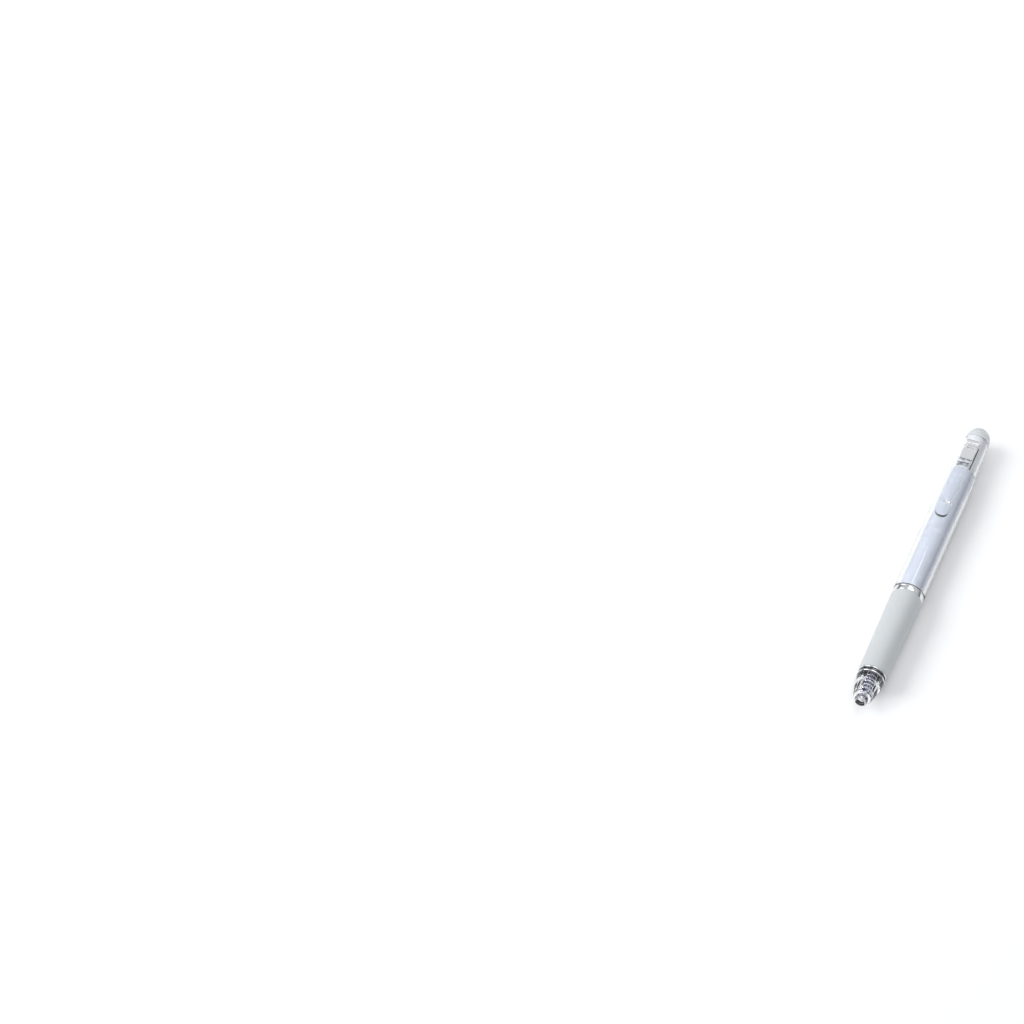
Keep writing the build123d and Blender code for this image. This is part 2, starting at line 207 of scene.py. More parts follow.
stretch.inputs["Rotation"].default_value = (0.3, 0.5, 0.4)
stretch.inputs["Scale"].default_value = (40.0, 900.0, 900.0)
hairs = handling.nodes.new("ShaderNodeTexNoise")
hairs.inputs["Scale"].default_value = 1.0
hairs.inputs["Detail"].default_value = 2.0
hair_lines = handling.nodes.new("ShaderNodeMapRange")
hair_lines.inputs["From Min"].default_value = 0.66
hair_lines.inputs["From Max"].default_value = 0.74
hair_depth = handling.nodes.new("ShaderNodeMath")
hair_depth.operation = "MULTIPLY"
worn = handling.nodes.new("ShaderNodeMath")
worn.operation = "MULTIPLY_ADD"
worn.inputs[1].default_value = 0.12
height = handling.nodes.new("ShaderNodeMath")
height.operation = "SUBTRACT"
link(handling, taken.outputs["Vector"], patches.inputs["Vector"])
link(handling, taken.outputs["Vector"], grain.inputs["Vector"])
link(handling, taken.outputs["Vector"], stretch.inputs["Vector"])
link(handling, taken.outputs["Patch Scale"], patches.inputs["Scale"])
link(handling, taken.outputs["Grain Scale"], grain.inputs["Scale"])
link(handling, stretch.outputs["Vector"], hairs.inputs["Vector"])
link(handling, patches.outputs["Fac"], spread.inputs["Value"])
link(handling, taken.outputs["Polish"], spread.inputs["To Min"])
link(handling, taken.outputs["Dullness"], spread.inputs["To Max"])
link(handling, hairs.outputs["Fac"], hair_lines.inputs["Value"])
link(handling, hair_lines.outputs["Result"], hair_depth.inputs[0])
link(handling, taken.outputs["Scratches"], hair_depth.inputs[1])
link(handling, hair_depth.outputs["Value"], worn.inputs[0])
link(handling, spread.outputs["Result"], worn.inputs[2])
link(handling, grain.outputs["Fac"], height.inputs[0])
link(handling, hair_depth.outputs["Value"], height.inputs[1])
link(handling, worn.outputs["Value"], given.inputs["Roughness"])
link(handling, height.outputs["Value"], given.inputs["Height"])

# Drift: a colour that wanders slightly between two near shades, as moulded parts do.
drift, taken, given = shader_group(
    "drift",
    [
        ("Vector", "NodeSocketVector", None),
        ("Scale", "NodeSocketFloat", 120.0),
        ("Shade A", "NodeSocketColor", (0.8, 0.8, 0.8, 1.0)),
        ("Shade B", "NodeSocketColor", (0.7, 0.7, 0.7, 1.0)),
    ],
    [("Color", "NodeSocketColor")],
)
clouds = drift.nodes.new("ShaderNodeTexNoise")
clouds.inputs["Detail"].default_value = 4.0
clouds.inputs["Distortion"].default_value = 0.4
between = drift.nodes.new("ShaderNodeMix")
between.data_type = "RGBA"
link(drift, taken.outputs["Vector"], clouds.inputs["Vector"])
link(drift, taken.outputs["Scale"], clouds.inputs["Scale"])
link(drift, clouds.outputs["Fac"], between.inputs["Factor"])
link(drift, taken.outputs["Shade A"], between.inputs["A"])
link(drift, taken.outputs["Shade B"], between.inputs["B"])
link(drift, between.outputs["Result"], given.inputs["Color"])


def moulded(name, shades, polish, dullness, sockets=None, grain_scale=4000.0, relief=0.002,
            patch_scale=300.0, drift_scale=120.0, scratches=0.2):
    """A material with drifting colour, handled polish and a fine relief, in millimetres."""
    material = bpy.data.materials.new(name)
    material.use_nodes = True
    tree = material.node_tree
    shader = tree.nodes["Principled BSDF"]
    for socket, value in (sockets or {}).items():
        shader.inputs[socket].default_value = value
    place = tree.nodes.new("ShaderNodeTexCoord")
    colour = tree.nodes.new("ShaderNodeGroup")
    colour.name = "Drift"
    colour.node_tree = drift
    colour.inputs["Scale"].default_value = drift_scale
    colour.inputs["Shade A"].default_value = (*shades[0], 1.0)
    colour.inputs["Shade B"].default_value = (*shades[1], 1.0)
    touch = tree.nodes.new("ShaderNodeGroup")
    touch.name = "Handling"
    touch.node_tree = handling
    touch.inputs["Patch Scale"].default_value = patch_scale
    touch.inputs["Polish"].default_value = polish
    touch.inputs["Dullness"].default_value = dullness
    touch.inputs["Grain Scale"].default_value = grain_scale
    touch.inputs["Scratches"].default_value = scratches
    bump = tree.nodes.new("ShaderNodeBump")
    bump.inputs["Strength"].default_value = 1.0
    bump.inputs["Distance"].default_value = relief * MM
    link(tree, place.outputs["Object"], colour.inputs["Vector"])
    link(tree, place.outputs["Object"], touch.inputs["Vector"])
    link(tree, colour.outputs["Color"], shader.inputs["Base Color"])
    link(tree, touch.outputs["Roughness"], shader.inputs["Roughness"])
    link(tree, touch.outputs["Height"], bump.inputs["Height"])
    link(tree, bump.outputs["Normal"], shader.inputs["Normal"])
    return material


def light_passes(material, share):
    """Let a share of the direct light through a clear material instead of shadowing it."""
    tree = material.node_tree
    path = tree.nodes.new("ShaderNodeLightPath")
    amount = tree.nodes.new("ShaderNodeMath")
    amount.operation = "MULTIPLY"
    amount.inputs[1].default_value = share
    through = tree.nodes.new("ShaderNodeBsdfTransparent")
    either = tree.nodes.new("ShaderNodeMixShader")
    link(tree, path.outputs["Is Shadow Ray"], amount.inputs[0])
    link(tree, amount.outputs["Value"], either.inputs["Fac"])
    link(tree, tree.nodes["Principled BSDF"].outputs["BSDF"], either.inputs[1])
    link(tree, through.outputs["BSDF"], either.inputs[2])
    link(tree, either.outputs["Shader"], tree.nodes["Material Output"].inputs["Surface"])


clear_plastic = moulded(
    "clear_plastic", ((0.97, 0.98, 0.99), (0.95, 0.96, 0.98)), 0.012, 0.03,
    {"Transmission Weight": 1.0, "IOR": 1.49}, relief=0.0004, scratches=0.15,
)
light_passes(clear_plastic, 0.9)

NOSE = 11.0  # length that shows
SPIGOT = 3.9
SPRING_BORE = 2.45
REFILL_BORE = 3.1
NECK_ROOM = 1.7
TIP_HOLE = 1.25
SPRING_LEDGE = 3.0  # station
BORE_STEP = 9.0  # station
FLUTES = 10
FLUTE_DEPTH = 0.18
FLUTE_FRONT, FLUTE_BACK = 3.3, 8.7
THREAD_FRONT = 13.6
THREAD_PITCH = 1.0
THREAD_DEPTH = 0.16
spigot_back = station_of(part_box("nose_cone")[0].x)


def nose_shape(station, radius, angle):
    """Flutes in the spring's bore, and the thread on the spigot."""
    if abs(radius - SPRING_BORE) < 0.01 and FLUTE_FRONT < station < FLUTE_BACK:
        return radius - FLUTE_DEPTH / 2 * (1 + math.cos(FLUTES * angle))
    if abs(radius - SPIGOT) < 0.01 and THREAD_FRONT < station < spigot_back - 0.4:
        lead = (station / THREAD_PITCH + angle / (2 * math.pi)) % 1
        return radius - THREAD_DEPTH * (1 - abs(2 * lead - 1))
    return radius


def even(start, end, count):
    """Evenly spaced values from start to end."""
    return [start + (end - start) * k / count for k in range(count + 1)]


def run(start, end, radius, count):
    """Evenly spaced points along a straight stretch of an outline."""
    return [(station, radius) for station in even(start, end, count)]


nose_outline = (
    curve((0.0, 1.6), (0.0, 1.3), (1.0, 2.62), (1.2, 1.0), 10)
    + curve((1.0, 2.62), (5.0, 3.9), (NOSE, 4.95), (6.0, 0.55), 30)[1:]
    + [(NOSE, SPIGOT)]
    + run(THREAD_FRONT - 0.2, spigot_back - 0.2, SPIGOT, 72)
    + [(spigot_back, 3.7), (spigot_back, REFILL_BORE), (BORE_STEP, REFILL_BORE)]
    + run(BORE_STEP, SPRING_LEDGE, SPRING_BORE, 20)
    + [(SPRING_LEDGE, NECK_ROOM), (0.9, NECK_ROOM), (0.9, TIP_HOLE), (0.15, TIP_HOLE)]
)
nose = lathe("nose_cone_clear", rounded(nose_outline, 0.18), around=160, wave=nose_shape)
nose.data.materials.append(clear_plastic)
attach(nose, "nose")
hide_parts("nose_cone")

# ------------------------------------------------------------------ rings
# Two trim rings turned in brass and bright plated. The one behind the cone has a wide
# recess with painted shade in it, and the one between grip and barrel bulges, with a fine groove.


def plated(name, shade, polish, dullness):
    """Bright plating over turned metal, with fine turning lines round the pen."""
    material = moulded(
        name, (shade, tuple(c * 0.94 for c in shade)), polish, dullness,
        {"Metallic": 1.0}, relief=0.0006, scratches=0.3, drift_scale=300.0,
    )
    tree = material.node_tree
    place = tree.nodes["Texture Coordinate"]
    bump = tree.nodes["Bump"]
    lines = tree.nodes.new("ShaderNodeTexWave")
    lines.bands_direction = "X"
    lines.inputs["Scale"].default_value = 2200.0
    lines.inputs["Distortion"].default_value = 1.5
    turning = tree.nodes.new("ShaderNodeBump")
    turning.inputs["Strength"].default_value = 0.35
    turning.inputs["Distance"].default_value = 0.0006 * MM
    link(tree, place.outputs["Object"], lines.inputs["Vector"])
    link(tree, lines.outputs["Fac"], turning.inputs["Height"])
    link(tree, turning.outputs["Normal"], bump.inputs["Normal"])
    return material


def painted_shade_between(material, inner, outer, shade, dulling):
    """Paint shade onto the plating between two distances from the axis, and leave it satin inside
    them.
    """
    tree = material.node_tree
    place = tree.nodes["Texture Coordinate"]
    flat = tree.nodes.new("ShaderNodeVectorMath")
    flat.operation = "MULTIPLY"
    flat.inputs[1].default_value = (0.0, 1.0, 1.0)
    depth = tree.nodes.new("ShaderNodeVectorMath")
    depth.operation = "DISTANCE"
    depth.inputs[1].default_value = (0.0, 0.0, axis_z)
    painted_shade_band = tree.nodes.new("ShaderNodeMath")
    painted_shade_band.operation = "COMPARE"
    painted_shade_band.inputs[1].default_value = (inner + outer) / 2 * MM
    painted_shade_band.inputs[2].default_value = (outer - inner) / 2 * MM
    tone = tree.nodes.new("ShaderNodeMix")
    tone.data_type = "RGBA"
    tone.inputs["B"].default_value = (*shade, 1.0)
    link(tree, place.outputs["Object"], flat.inputs[0])
    link(tree, flat.outputs["Vector"], depth.inputs[0])
    link(tree, depth.outputs["Value"], painted_shade_band.inputs[0])
    link(tree, painted_shade_band.outputs["Value"], tone.inputs["Factor"])
    within = tree.nodes.new("ShaderNodeMath")
    within.operation = "LESS_THAN"
    within.inputs[1].default_value = inner * MM
    satin = tree.nodes.new("ShaderNodeMath")
    satin.operation = "MULTIPLY_ADD"
    satin.inputs[1].default_value = dulling
    link(tree, depth.outputs["Value"], within.inputs[0])
    link(tree, within.outputs["Value"], satin.inputs[0])
    link(tree, tree.nodes["Handling"].outputs["Roughness"], satin.inputs[2])
    link(tree, satin.outputs["Value"], tree.nodes["Principled BSDF"].inputs["Roughness"])
    link(tree, tree.nodes["Drift"].outputs["Color"], tone.inputs["A"])
    link(tree, tone.outputs["Result"], tree.nodes["Principled BSDF"].inputs["Base Color"])


bright_metal = plated("bright_metal", (0.80, 0.81, 0.83), 0.04, 0.14)
# Painted shade: the front ring's recess is coloured dark to stand in for the shade that falls
# inside it.
painted_shade_between(bright_metal, 4.6, 4.98, (0.13, 0.135, 0.15), dulling=0.6)


def trim_ring(name, node, body, outline):
    """A plated ring turned to an outline."""
    piece = lathe(name, rounded(outline, 0.06), around=144)
    piece.data.materials.append(bright_metal)
    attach(piece, body)
    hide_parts(node)
    return piece


grip_front = station_of(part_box("front_ring")[0].x)
grip_back = station_of(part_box("grip_sleeve")[0].x)
barrel_front = station_of(barrel_high.x)
CORE = 4.5  # the grip core, under the grip and the middle ring
RING = 5.15
RING_SEAT = 3.95
RECESS_FLOOR = 4.75
LIP = 0.6
RECESS = 1.2
recess_back = NOSE + LIP + RECESS
trim_ring("front_ring_plated", "front_ring", "nose_collar", (
    [(NOSE, RING_SEAT), (NOSE, 5.0), (NOSE + 0.2, 5.14), (NOSE + LIP - 0.15, RING)]
    + [(NOSE + LIP, 5.05), (NOSE + LIP, RECESS_FLOOR)]
    + [(recess_back, RECESS_FLOOR), (recess_back, 5.05), (recess_back + 0.12, RING)]
    + [(grip_front - 0.1, RING), (grip_front, 5.05), (grip_front, RING_SEAT)]
))
BULGE = 5.83
GROOVE = 0.12
groove_at = barrel_front - 0.7
trim_ring("middle_ring_plated", "middle_ring", "casing", (
    [(grip_back, CORE), (grip_back, 5.6)]
    + curve((grip_back + 0.15, 5.74), (1.2, 0.25), (groove_at - GROOVE, BULGE), (0.8, -0.03), 8)
    + [(groove_at, BULGE - GROOVE)]
    + curve((groove_at + GROOVE, BULGE), (0.3, 0), (barrel_front - 0.12, 5.76), (0.2, -0.12), 4)
    + [(barrel_front, 5.62), (barrel_front, CORE)]
))

# ------------------------------------------------------------------ grip
# Soft light-grey rubber sleeve, thinner towards the tip, with a fine matt skin that
# fingers have polished a little.

grip_rubber = moulded(
    "soft_grip", ((0.56, 0.585, 0.60), (0.52, 0.545, 0.56)), 0.48, 0.66,
    {"Specular IOR Level": 0.35, "Sheen Weight": 0.12, "Sheen Roughness": 0.5,
     "Subsurface Weight": 0.06, "Subsurface Scale": 0.002},
    grain_scale=7000.0, relief=0.012, patch_scale=160.0, drift_scale=60.0, scratches=0.05,
)

grip_outline = (
    [(grip_front, CORE), (grip_front, 5.05), (grip_front + 0.25, 5.25)]
    + curve((grip_front + 0.5, 5.3), (22.0, 0.25), (grip_back - 0.4, 5.8), (14.0, 0.05), 48)
    + [(grip_back - 0.12, 5.72), (grip_back, 5.5), (grip_back, CORE)]
)
grip = lathe("grip_sleeve_rubber", rounded(grip_outline, 0.2), around=144)
grip.data.materials.append(grip_rubber)
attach(grip, "casing")
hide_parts("grip_sleeve")

# ------------------------------------------------------------------ barrel and liner
# Clear moulded tube, tapering to the rear, over a glossy white liner that stops where the
# click mechanism begins. A slot in the top lets the knock's stem through. The grip's core
# runs into the tube and is of the liner's white plastic.


def joined(first, second, operation, name):
    """Cut one closed piece with another, or weld them, and return one plain mesh piece."""
    change = first.modifiers.new(operation.lower(), "BOOLEAN")
    change.operation = operation
    change.object = second
    change.solver = "EXACT"
    result = evaluated(first, name)
    bpy.data.objects.remove(second)
    return smoothed(result, name)


def bar(name, front, back, width, low, high, edge):
    """A straight bar between two stations and two heights over the axis, edges eased."""
    form = bmesh.new()
    bmesh.ops.create_cube(form, size=1.0)
    for corner in form.verts:
        corner.co = (
            at(back) if corner.co.x < 0 else at(front),
            corner.co.y * width * MM,
            axis_z + (low if corner.co.z < 0 else high) * MM,
        )
    bmesh.ops.bevel(form, geom=form.edges, offset=edge * MM, segments=3, profile=0.5,
                    affect="EDGES")
    return finish_mesh(form, name)


BARREL = 5.9
BACK = 4.7
BORE = 4.7
REAR_BORE = 3.9
REAR_BORE_FRONT = 118.0  # station
TAPER = 36.0
SLOT_FRONT, SLOT_BACK, SLOT_WIDTH = 118.2, 130.6, 4.4
barrel_back = station_of(barrel_low.x)
taper_front = barrel_back - TAPER
taper_middle = (taper_front + TAPER / 2, 5.28)
barrel_outline = (
    [(barrel_front, BORE), (barrel_front, BARREL)]
    + run(barrel_front + 2, taper_front, BARREL, 12)
    + curve((taper_front, BARREL), (18.0, 0.0), taper_middle, (17.0, -0.6), 24)[1:]
    + curve(taper_middle, (17.0, -0.6), (barrel_back, BACK), (18.0, -0.15), 24)[1:]
    + [(barrel_back, REAR_BORE), (REAR_BORE_FRONT, REAR_BORE), (REAR_BORE_FRONT, BORE)]
)
barrel_tube = lathe("barrel_tube", rounded(barrel_outline, 0.15), around=144)
slot_cutter = bar("slot_cutter", SLOT_FRONT, SLOT_BACK, SLOT_WIDTH, 0.5, 7.0, edge=0.3)
barrel = joined(barrel_tube, slot_cutter, "DIFFERENCE", "barrel_clear")
barrel.data.materials.clear()
barrel.data.materials.append(clear_plastic)
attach(barrel, "casing")
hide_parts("barrel")

white_plastic = moulded(
    "white_plastic", ((0.53, 0.56, 0.63), (0.50, 0.53, 0.60)), 0.18, 0.32,
    {"Coat Weight": 0.2, "Coat Roughness": 0.08}, relief=0.002,
)
LINER, LINER_BORE = 4.65, 4.2
liner_front = barrel_front + 0.02
liner_back = station_of(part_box("barrel_liner")[0].x)
liner_outline = [
    (liner_front, LINER_BORE), (liner_front, LINER), (liner_back, LINER), (liner_back, LINER_BORE)
]
liner = lathe("barrel_liner_white", rounded(liner_outline, 0.12), around=128)
liner.data.materials.append(white_plastic)
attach(liner, "casing")
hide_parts("barrel_liner")


def dress(node, material):
    """Give a CAD node its finish."""
    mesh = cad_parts[node].data
    mesh.materials.clear()
    mesh.materials.append(material)


dress("grip_core", white_plastic)

# ------------------------------------------------------------------ click mechanism
# Cam sleeve and plunger in frosted plastic, rotor in grey: it turns as the knock pushes
# it and holds the refill out.

frosted_plastic = moulded(
    "frosted_plastic", ((0.88, 0.89, 0.91), (0.82, 0.83, 0.86)), 0.35, 0.5,
    {"Transmission Weight": 0.35, "IOR": 1.49}, relief=0.004,
)
light_passes(frosted_plastic, 0.3)
grey_plastic = moulded(
    "grey_plastic", ((0.40, 0.42, 0.45), (0.33, 0.35, 0.38)), 0.3, 0.45, relief=0.004,
)
dress("cam_sleeve", frosted_plastic)
dress("plunger", frosted_plastic)
dress("rotor", grey_plastic)
dress("dome_collar", frosted_plastic)

# ------------------------------------------------------------------ knock block
# The thumb's block, moulded in clear plastic, stands over the slot; its stem goes down
# through the slot into the plunger. Three shallow grooves cross its top.

CLIP_TOP = 8.4
CLIP_WIDTH = 4.8
CLIP_THICK = 1.4
ROOT = 119.0  # station of the clip's root
ROOT_HEIGHT = CLIP_TOP - CLIP_THICK / 2
BLOCK_LOW = 5.58
BLOCK_CORNER = 1.8
THUMB_GROOVES = 3
block_back = station_of(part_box("knock_block")[0].x)


def arc(centre, radius, start, end, count):
    """Points on a circle in side view; angles in degrees, 0 towards the rear, 90 up."""
    points = []
    for step in range(count + 1):
        angle = math.radians(start + (end - start) * step / count)
        points.append((centre[0] + radius * math.cos(angle), centre[1] + radius * math.sin(angle)))
    return points


def slab(name, outline, width, edge):
    """A plate of an outline in side view, centred on the pen, with eased edges."""
    form = bmesh.new()
    face = form.faces.new([
        form.verts.new((at(s), -width / 2 * MM, axis_z + r * MM)) for s, r in outline
    ])
    sides = bmesh.ops.extrude_face_region(form, geom=[face])
    moved = [v for v in sides["geom"] if isinstance(v, bmesh.types.BMVert)]
    bmesh.ops.translate(form, verts=moved, vec=(0, width * MM, 0))
    bmesh.ops.recalc_face_normals(form, faces=form.faces)
    rim = [e for e in form.edges if abs(e.verts[0].co.y - e.verts[1].co.y) < 1e-9]
    bmesh.ops.bevel(form, geom=rim, offset=edge * MM, segments=4, profile=0.5,
                    affect="EDGES", clamp_overlap=True)
    return finish_mesh(form, name)


thumb_grooves = []
for k in range(THUMB_GROOVES):
    middle = block_back - 3.2 - (THUMB_GROOVES - 1 - k) * 1.2
    thumb_grooves += arc((middle, CLIP_TOP + 0.05), 0.28, 190, 350, 8)
block_outline = (
    [(ROOT, CLIP_TOP)]
    + thumb_grooves
    + arc((block_back - BLOCK_CORNER, CLIP_TOP - BLOCK_CORNER), BLOCK_CORNER, 90, 0, 10)
    + [(block_back, BLOCK_LOW), (ROOT, BLOCK_LOW)]
    + arc((ROOT, ROOT_HEIGHT), CLIP_THICK / 2 + 0.05, -90, 90, 14)
)
block_body = slab("block_body", block_outline, CLIP_WIDTH, edge=0.12)
block_stem = bar("block_stem", 124.2, 130.4, 4.2, 0.6, 6.4, edge=0.15)
block = joined(block_body, block_stem, "UNION", "knock_block_clear")
block.data.materials.clear()
block.data.materials.append(clear_plastic)
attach(block, "knock")
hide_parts("knock_block")

# ------------------------------------------------------------------ clip
# Clear springy blade with rounded edges. Its round root sits in the block's groove, a
# bead under its end comes close to the barrel, and its end turns up a little.

BEAD_RADIUS = 1.2
BEAD_GAP = 0.16  # over the barrel
ROUND_CORNER = 0.42
THINNEST = 0.02
clip_end = station_of(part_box("clip")[1].x)
bead_at = clip_end + 9.0


def blade_section(station):
    """Half width, middle height and half thickness of the blade at a station."""
    half_thick = CLIP_THICK / 2
    height = ROOT_HEIGHT
    if station > ROOT:
        half_thick = math.sqrt(max(half_thick**2 - (station - ROOT) ** 2, 0.0))
    if station < bead_at:
        along = (bead_at - station) / (bead_at - clip_end)
        height += 0.6 * along**2 + 0.1 * along
        half_thick -= 0.2 * along
    half_width = CLIP_WIDTH / 2 - 0.03
    from_end = station - clip_end
    if from_end < half_width:
        half_width = math.sqrt(max(half_width**2 - (half_width - from_end) ** 2, 0.0))
        half_thick *= 0.7 + 0.3 * min(1.0, from_end / 0.6)
    return max(half_width, THINNEST), height, max(half_thick, THINNEST)


def blade_loop(form, station):
    """One ring of the blade: a rectangle with well rounded corners."""
    half_width, height, half_thick = blade_section(station)
    corner = min(ROUND_CORNER, half_width, half_thick) * 0.98
    ring = []
    for quarter in range(4):
        side_y = 1 if quarter in (0, 3) else -1
        side_z = 1 if quarter in (0, 1) else -1
        for step in range(6):
            angle = math.radians(90 * quarter + 90 * step / 5)
            y = side_y * (half_width - corner) + corner * math.cos(angle)
            z = side_z * (half_thick - corner) + corner * math.sin(angle)
            ring.append(form.verts.new((at(station), y * MM, axis_z + (height + z) * MM)))
    return ring


blade = bmesh.new()
root_stations = [ROOT + CLIP_THICK / 2 * math.sin(math.pi / 2 * (1 - k / 8)) for k in range(8)]
end_stations = [clip_end + 2.4 * (1 - math.cos(math.pi / 2 * k / 14)) for k in range(14, -1, -1)]
stations = root_stations + even(ROOT, clip_end + 2.5, 60) + end_stations
loops = [blade_loop(blade, station) for station in stations]
for first, second in zip(loops, loops[1:]):
    for j in range(len(first)):
        k = (j + 1) % len(first)
        blade.faces.new((first[j], first[k], second[k], second[j]))
blade.faces.new(loops[0])
blade.faces.new(loops[-1])
clip_blade = finish_mesh(blade, "clip_blade")

bead = bmesh.new()
bmesh.ops.create_uvsphere(bead, u_segments=32, v_segments=16, radius=BEAD_RADIUS * MM)
bmesh.ops.translate(bead, verts=bead.verts,
                    vec=(at(bead_at), 0, axis_z + (BARREL + BEAD_GAP + BEAD_RADIUS) * MM))
clip = joined(clip_blade, finish_mesh(bead, "clip_bead"), "UNION", "clip_clear")
clip.data.materials.clear()
clip.data.materials.append(clear_plastic)
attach(clip, "clip_blade")
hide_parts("clip")

# ------------------------------------------------------------------ end dome
# Soft frosted dome, moulded over the collar's post; it rounds off the rear at almost the
# barrel's full width.

frosted_rubber = moulded(
    "frosted_rubber", ((0.84, 0.86, 0.87), (0.79, 0.81, 0.83)), 0.42, 0.55,
    {"Transmission Weight": 0.55, "IOR": 1.42, "Subsurface Weight": 0.15,
     "Subsurface Scale": 0.003}, grain_scale=6000.0, relief=0.008, scratches=0.05,
)
light_passes(frosted_rubber, 0.4)
pen_back = station_of(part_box("end_dome")[0].x)
DOME = 4.72
DOME_POST = 2.55
post_back = barrel_back + 3.7
dome_profile = []
for t in even(0, 1, 24):
    along = (pen_back - barrel_back) * t
    dome_profile.append((barrel_back + along, DOME * (1 - t**2.6) ** (1 / 2.2)))
dome_outline = (
    [(barrel_back + 0.02, DOME_POST), (barrel_back + 0.02, DOME - 0.15)]
    + dome_profile[1:]
    + [(post_back, 0.0), (post_back, DOME_POST)]
)
dome = lathe("end_dome_frosted", dome_outline, around=128)
dome.data.materials.append(frosted_rubber)
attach(dome, "casing")
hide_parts("end_dome")

# ------------------------------------------------------------------ refill nose
# Dark-blue plastic stalk with a slim neck, carrying the turned steel tip and its ball.

navy_plastic = moulded(
    "navy_plastic", ((0.012, 0.014, 0.085), (0.008, 0.009, 0.06)), 0.16, 0.3, relief=0.002,
)
holder_front = station_of(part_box("tip_holder")[1].x)
holder_back = station_of(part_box("tip_holder")[0].x)
SHOULDER = 17.0  # station
REFILL = 2.95
NECK, STALK = 1.1, 1.5
TIP_SEAT, CHANNEL = 0.8, 0.72
TIP_SEAT_BACK = 9.0  # station
holder_outline = [
    (holder_front, TIP_SEAT), (holder_front, NECK), (holder_front + 2.6, NECK),
    (holder_front + 4.6, STALK), (SHOULDER, STALK), (SHOULDER, 2.6), (SHOULDER + 0.6, REFILL),
    (SHOULDER + 3, REFILL), (SHOULDER + 3, 2.4), (holder_back, 2.4), (holder_back, 1.85),
    (SHOULDER + 3, CHANNEL), (TIP_SEAT_BACK, CHANNEL), (TIP_SEAT_BACK, TIP_SEAT),
]
holder = lathe("tip_holder_navy", rounded(holder_outline, 0.12), around=96)
holder.data.materials.append(navy_plastic)
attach(holder, "refill")
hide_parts("tip_holder")

tip_steel = plated("tip_steel", (0.72, 0.73, 0.75), 0.14, 0.3)
point = station_of(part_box("tip_ball")[1].x)
BALL = 0.25
INK_CHANNEL = 0.42
tip_outline = [
    (point + 0.13, 0.27), (point + 0.16, 0.36), (point + 1.2, 0.62), (point + 1.35, TIP_SEAT),
    (point + 2.4, 1.0), (point + 2.8, 1.0), (point + 2.8, TIP_SEAT),
    (TIP_SEAT_BACK, TIP_SEAT), (TIP_SEAT_BACK, INK_CHANNEL), (point + 0.8, INK_CHANNEL),
    (point + 0.5, 0.2), (point + 0.3, 0.26),
]
tip_body = lathe("tip_body_steel", rounded(tip_outline, 0.05), around=96)
tip_body.data.materials.append(tip_steel)
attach(tip_body, "refill")
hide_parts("tip_body")

half_circle = [
    (point + BALL - BALL * math.cos(math.pi * k / 16), BALL * math.sin(math.pi * k / 16))
    for k in range(1, 16)
]
ball_outline = [(point, 0.0)] + half_circle + [(point + 2 * BALL, 0.0)]
ball = lathe("tip_ball_carbide", ball_outline, around=48)
ball.data.materials.append(tip_steel)
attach(ball, "ball")
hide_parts("tip_ball")
dress("tip_spring", tip_steel)

# ------------------------------------------------------------------ refill tube
# Clear drawn tube with thick dark-blue gel, a plug of grease behind it and a dark tail.

refill_plastic = moulded(
    "refill_plastic", ((0.95, 0.96, 0.97), (0.92, 0.93, 0.95)), 0.08, 0.2,
    {"Transmission Weight": 0.9, "IOR": 1.5}, relief=0.002,
)
light_passes(refill_plastic, 0.8)
gel_ink = moulded(
    "gel_ink", ((0.010, 0.012, 0.075), (0.016, 0.02, 0.11)), 0.12, 0.35,
    patch_scale=500.0, drift_scale=260.0,
)
grease = moulded(
    "grease", ((0.80, 0.78, 0.66), (0.72, 0.70, 0.58)), 0.2, 0.4,
    {"Transmission Weight": 0.5, "IOR": 1.45},
)
dress("refill_tube", refill_plastic)
dress("ink", gel_ink)
dress("ink_follower", grease)
dress("refill_tail", navy_plastic)

# ------------------------------------------------------------------ return spring
# Bright drawn wire round the stalk, its end coils closed, between the cone's ledge and
# the refill's shoulder.

spring_steel = plated("spring_steel", (0.84, 0.84, 0.90), 0.08, 0.2)


